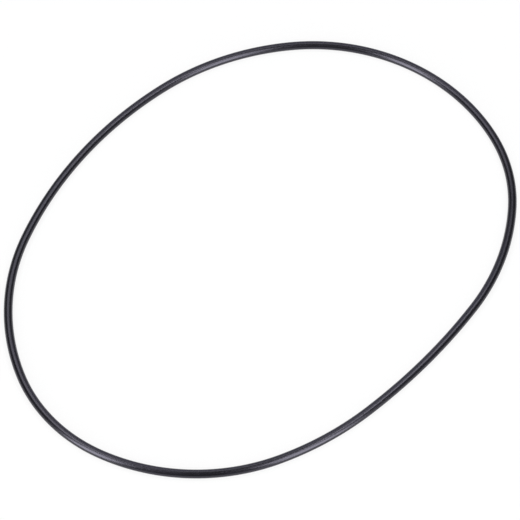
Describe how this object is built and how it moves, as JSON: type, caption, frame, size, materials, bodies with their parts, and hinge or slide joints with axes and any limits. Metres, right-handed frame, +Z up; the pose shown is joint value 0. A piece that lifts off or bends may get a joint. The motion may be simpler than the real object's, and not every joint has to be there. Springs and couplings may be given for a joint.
{
  "type": "rubber o-ring",
  "caption": "Thin black rubber O-ring of round section, moulded as a circle and lying flat in the lazy oval that it takes when slack.",
  "frame": {"origin": "middle of the oval's box, on the surface that the ring lies on", "axes": "+X along the oval's long axis, +Y across it, +Z up out of the plane that the ring lies in"},
  "size_m": [0.3476, 0.2632, 0.0053],
  "materials": {
    "rubber": "satin moulded nitrile rubber, blue-black"
  },
  "bodies": {
    "root": {"o_ring": "rubber"}
  },
  "joints": []
}
